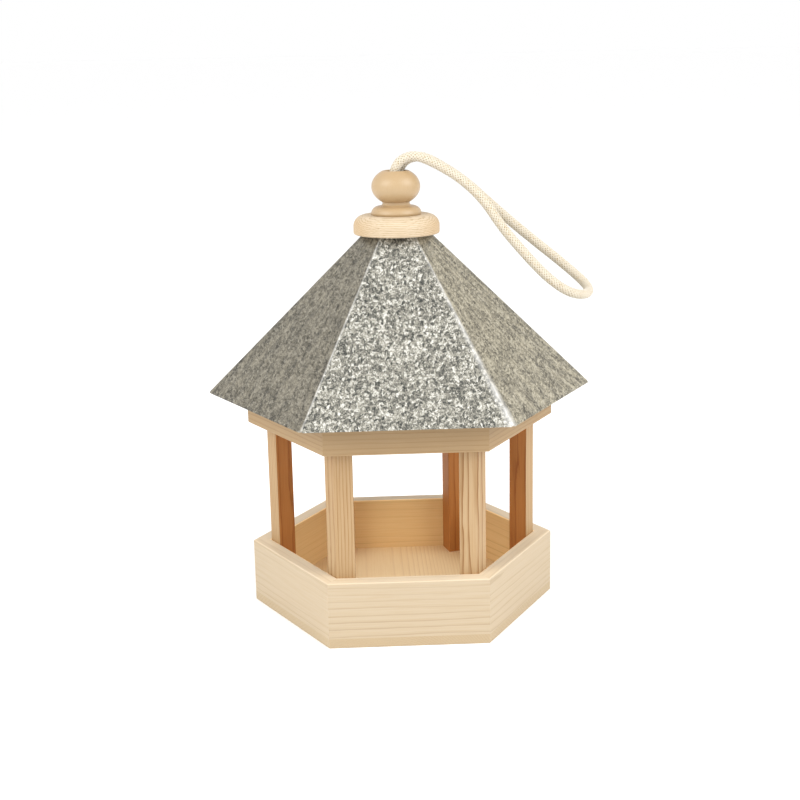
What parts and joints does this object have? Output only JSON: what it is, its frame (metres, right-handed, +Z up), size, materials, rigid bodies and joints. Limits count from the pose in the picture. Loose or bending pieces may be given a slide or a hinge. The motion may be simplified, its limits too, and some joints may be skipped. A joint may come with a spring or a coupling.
{
  "type": "hanging bird feeder",
  "caption": "Hexagonal pine bird feeder with a walled seed tray, corner posts, a folded zinc roof that lifts up its cord, a turned finial and a cotton hanging loop.",
  "frame": {"origin": "centre of the tray's underside, on the surface that the feeder stands on", "axes": "+Z up through the posts, roof and finial; one flat side of the tray faces -Y; +X to the right, where the cord loop hangs"},
  "size_m": [0.2016, 0.1732, 0.2381],
  "materials": {
    "pine_tray": "planed, raw",
    "pine_floor": "planed, raw",
    "pine_post": "planed, raw",
    "pine_frieze": "planed, raw",
    "pine_collar": "turned, raw",
    "beech": "turned and sanded smooth",
    "zinc": "galvanised, spangled, dull",
    "steel": "zinc plated",
    "cotton": "undyed braid"
  },
  "bodies": {
    "feeder": {"floor_board": "pine_floor", "tray_wall_back_right": "pine_tray", "tray_wall_back": "pine_tray", "tray_wall_back_left": "pine_tray", "tray_wall_front_left": "pine_tray", "tray_wall_front": "pine_tray", "tray_wall_front_right": "pine_tray", "post_right": "pine_post", "post_back_right": "pine_post", "post_back_left": "pine_post", "post_left": "pine_post", "post_front_left": "pine_post", "post_front_right": "pine_post", "frieze_back_right": "pine_frieze", "frieze_back": "pine_frieze", "frieze_back_left": "pine_frieze", "frieze_front_left": "pine_frieze", "frieze_front": "pine_frieze", "frieze_front_right": "pine_frieze", "cross_bar": "pine_tray", "floor_brads": "steel", "post_screws": "steel", "bar_screws": "steel", "cord_leg_near": "cotton", "cord_leg_far": "cotton", "cord_knot": "cotton"},
    "roof": {"roof_sheet": "zinc", "roof_block": "pine_tray", "collar_screws": "steel", "collar_disc": "pine_collar", "finial": "beech", "cord_loop": "cotton"}
  },
  "joints": [
    {"name": "roof_lift", "type": "slide", "parent": "feeder", "child": "roof", "axis": [0, 0, 1], "range_m": [0, 0.1], "deforming": ["cord_leg_near", "cord_leg_far"]}
  ]
}
